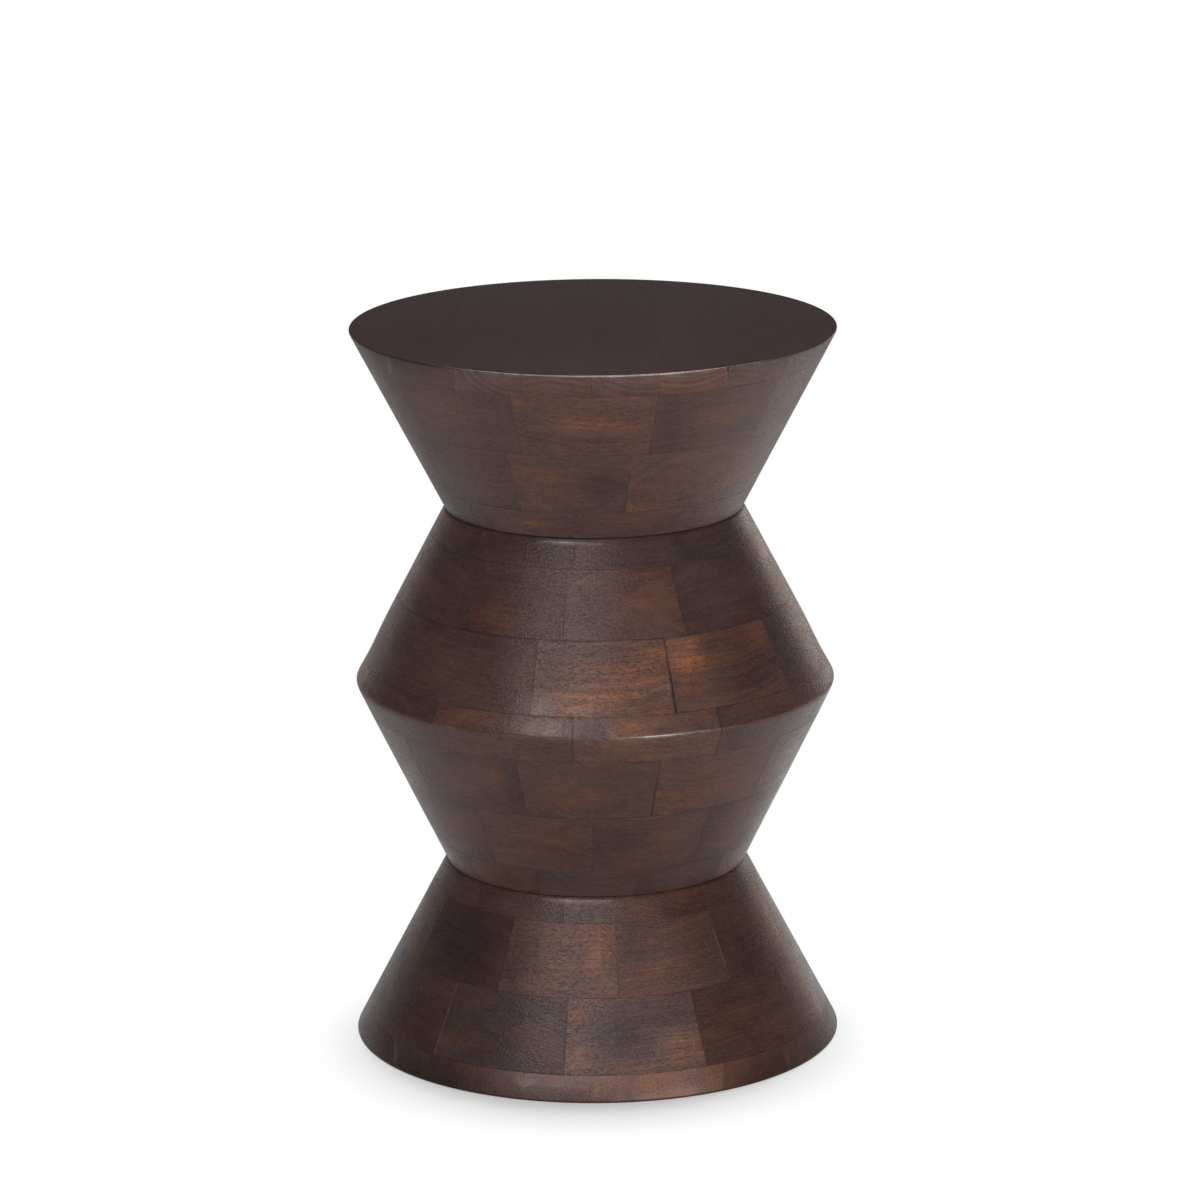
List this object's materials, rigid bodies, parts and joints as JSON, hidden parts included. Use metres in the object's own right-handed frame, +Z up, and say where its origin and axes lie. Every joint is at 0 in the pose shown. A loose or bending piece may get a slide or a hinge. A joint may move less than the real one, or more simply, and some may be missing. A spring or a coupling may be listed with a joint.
{
  "type": "accent table",
  "caption": "Round zigzag drum accent table of glued-up dark wooden blocks, turned to two narrow necks and a sharp belly",
  "frame": {"origin": "on the floor, under the middle of the round foot", "axes": "+Z up, the table's axis of turning; -Y towards the viewer; +X to the viewer's right; the panels' strips run along Y"},
  "size_m": [0.3438, 0.3438, 0.508],
  "materials": {
    "dark_wood": "dark brown stain under a satin lacquer"
  },
  "bodies": {
    "root": {"underside_panel": "dark_wood", "base_ring_1": "dark_wood", "base_ring_2": "dark_wood", "base_neck_ring": "dark_wood", "belly_neck_ring_1": "dark_wood", "belly_ring_1": "dark_wood", "belly_ring_2": "dark_wood", "belly_ring_3": "dark_wood", "belly_ring_4": "dark_wood", "belly_ring_5": "dark_wood", "belly_neck_ring_2": "dark_wood", "top_neck_ring": "dark_wood", "top_ring_1": "dark_wood", "top_ring_2": "dark_wood", "tabletop_panel": "dark_wood"}
  },
  "joints": []
}
